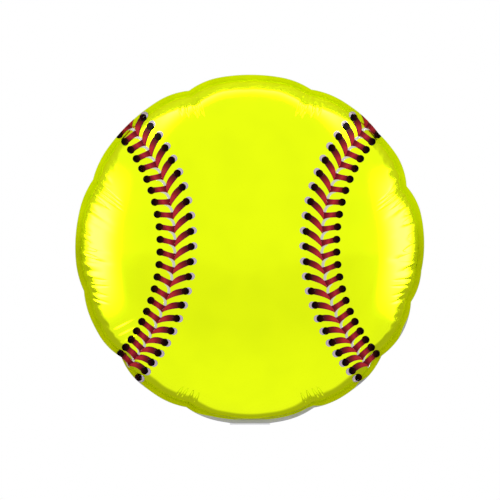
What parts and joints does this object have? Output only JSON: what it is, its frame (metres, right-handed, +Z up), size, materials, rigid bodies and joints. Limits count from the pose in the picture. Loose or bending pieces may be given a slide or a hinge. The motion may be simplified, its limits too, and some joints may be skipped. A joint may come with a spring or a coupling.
{
  "type": "softball foil balloon",
  "caption": "Round filled foil balloon printed as a yellow softball with red lacing, welded rim, inner valve and folding tail.",
  "frame": {"origin": "middle of the filled balloon, in the plane of its welded rim", "axes": "-Y out of the printed face, +Z up to the top of the print, the tail's crease at the bottom along X"},
  "size_m": [0.3509, 0.2054, 0.3513],
  "materials": {
    "printed_film": "optic yellow ink on metallised film, glossy",
    "plain_foil": "bare metallised film, mirror-like with fine puckers",
    "valve_film": "clear soft film",
    "release_coat": "thin heat-resistant coat",
    "seam_ink": "pale grey ink",
    "rim_ink": "pale lavender ink",
    "stitch_ink": "red ink shaded to near black",
    "hole_ink": "near-black ink"
  },
  "bodies": {
    "envelope": {"front_panel": "printed_film", "back_panel": "plain_foil", "weld_hem": "printed_film", "valve_front_film": "valve_film", "valve_back_film": "valve_film", "valve_release_coat": "release_coat", "left_seam_line": "seam_ink", "right_seam_line": "seam_ink", "left_hole_rims": "rim_ink", "right_hole_rims": "rim_ink", "left_stitches": "stitch_ink", "right_stitches": "stitch_ink", "left_stitch_holes": "hole_ink", "right_stitch_holes": "hole_ink"},
    "tail": {"tail_front_ply": "plain_foil", "tail_back_ply": "plain_foil", "inlet_front_film": "valve_film", "inlet_back_film": "valve_film"}
  },
  "joints": [
    {"name": "tail_fold", "type": "hinge", "parent": "envelope", "child": "tail", "pos_m": [0, 0, -0.17561], "axis": [-1, 0, 0], "range_deg": [0, 208]}
  ]
}
